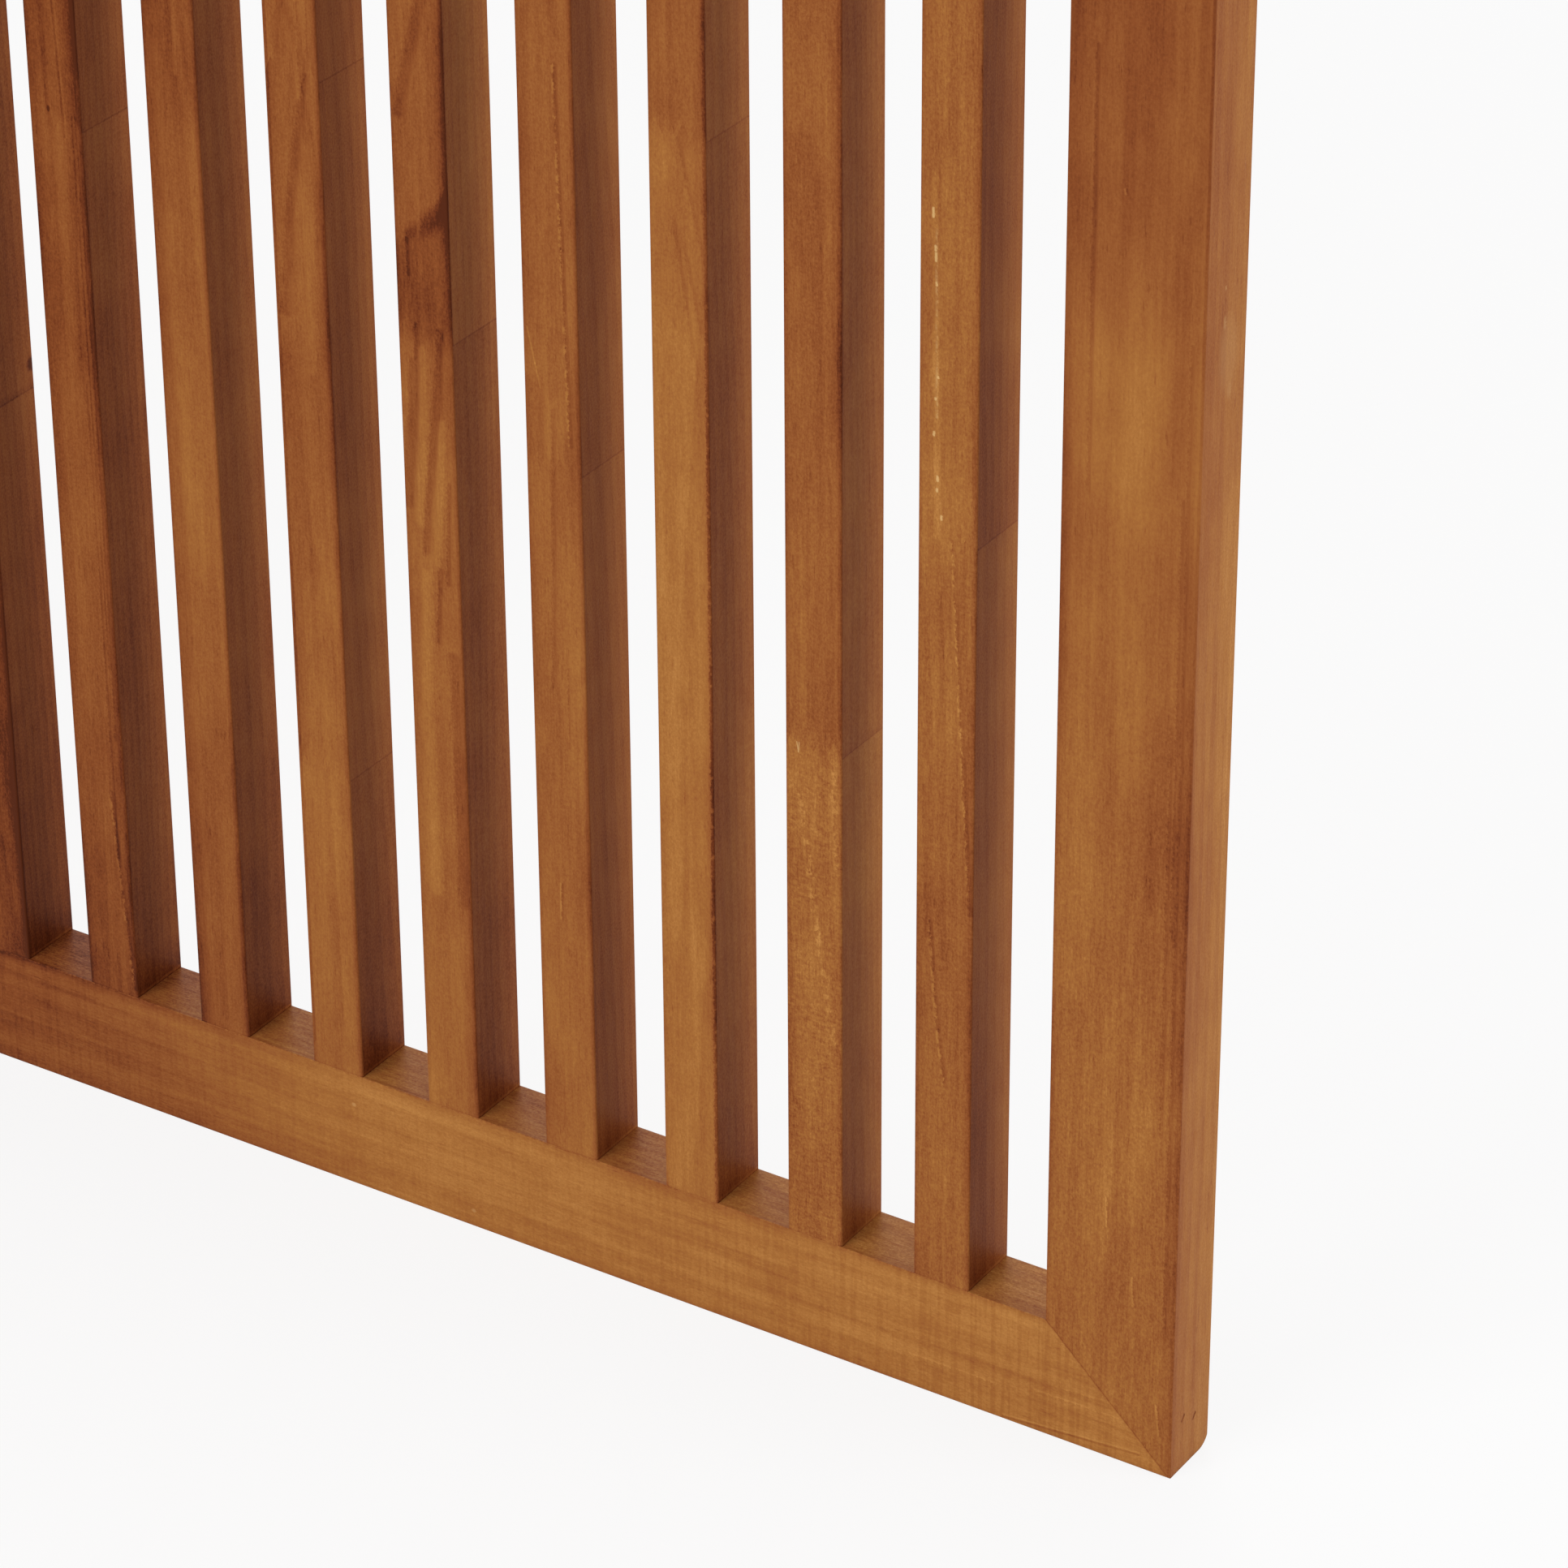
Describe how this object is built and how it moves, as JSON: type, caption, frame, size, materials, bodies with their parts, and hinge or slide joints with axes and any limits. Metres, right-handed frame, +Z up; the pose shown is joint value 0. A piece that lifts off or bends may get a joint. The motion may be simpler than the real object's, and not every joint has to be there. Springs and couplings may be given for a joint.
{
  "type": "slatted folding screen",
  "caption": "Free-standing folding screen of mitred stained pine frames with upright slats set flush, hinged to fold in a zigzag and divide a room.",
  "frame": {"origin": "on the floor, under the middle of the middle panel and of the whole screen as it stands", "axes": "+Z up, -Y towards the front faces, +X to the right seen from the front"},
  "size_m": [1.2164, 0.2424, 1.7],
  "materials": {
    "frame_pine": "orange-brown stain, satin",
    "slat_pine": "orange-brown stain, satin",
    "hinge_brass": "plated, slightly dulled",
    "screw_brass": "plated, slightly dulled",
    "brad_steel": "bare wire"
  },
  "bodies": {
    "middle_panel": {"left_fold_hinge_pins": "hinge_brass", "left_fold_middle_leaves": "hinge_brass", "left_fold_middle_screws": "screw_brass", "middle_panel_bottom_rail": "frame_pine", "middle_panel_corner_brads": "brad_steel", "middle_panel_left_stile": "frame_pine", "middle_panel_right_stile": "frame_pine", "middle_panel_slat_01": "slat_pine", "middle_panel_slat_02": "slat_pine", "middle_panel_slat_03": "slat_pine", "middle_panel_slat_04": "slat_pine", "middle_panel_slat_05": "slat_pine", "middle_panel_slat_06": "slat_pine", "middle_panel_slat_07": "slat_pine", "middle_panel_slat_08": "slat_pine", "middle_panel_slat_09": "slat_pine", "middle_panel_slat_10": "slat_pine", "middle_panel_top_rail": "frame_pine", "right_fold_hinge_pins": "hinge_brass", "right_fold_middle_leaves": "hinge_brass", "right_fold_middle_screws": "screw_brass"},
    "left_panel": {"left_fold_outer_leaves": "hinge_brass", "left_fold_outer_screws": "screw_brass", "left_panel_bottom_rail": "frame_pine", "left_panel_corner_brads": "brad_steel", "left_panel_left_stile": "frame_pine", "left_panel_right_stile": "frame_pine", "left_panel_slat_01": "slat_pine", "left_panel_slat_02": "slat_pine", "left_panel_slat_03": "slat_pine", "left_panel_slat_04": "slat_pine", "left_panel_slat_05": "slat_pine", "left_panel_slat_06": "slat_pine", "left_panel_slat_07": "slat_pine", "left_panel_slat_08": "slat_pine", "left_panel_slat_09": "slat_pine", "left_panel_slat_10": "slat_pine", "left_panel_top_rail": "frame_pine"},
    "right_panel": {"right_fold_outer_leaves": "hinge_brass", "right_fold_outer_screws": "screw_brass", "right_panel_bottom_rail": "frame_pine", "right_panel_corner_brads": "brad_steel", "right_panel_left_stile": "frame_pine", "right_panel_right_stile": "frame_pine", "right_panel_slat_01": "slat_pine", "right_panel_slat_02": "slat_pine", "right_panel_slat_03": "slat_pine", "right_panel_slat_04": "slat_pine", "right_panel_slat_05": "slat_pine", "right_panel_slat_06": "slat_pine", "right_panel_slat_07": "slat_pine", "right_panel_slat_08": "slat_pine", "right_panel_slat_09": "slat_pine", "right_panel_slat_10": "slat_pine", "right_panel_top_rail": "frame_pine"}
  },
  "joints": [
    {"name": "left_fold", "type": "hinge", "parent": "middle_panel", "child": "left_panel", "pos_m": [-0.2038, -0.10311, 0.85], "axis": [0, 0, 1], "range_deg": [-120, 60]},
    {"name": "right_fold", "type": "hinge", "parent": "middle_panel", "child": "right_panel", "pos_m": [0.2038, 0.10311, 0.85], "axis": [0, 0, 1], "range_deg": [-120, 60]}
  ]
}
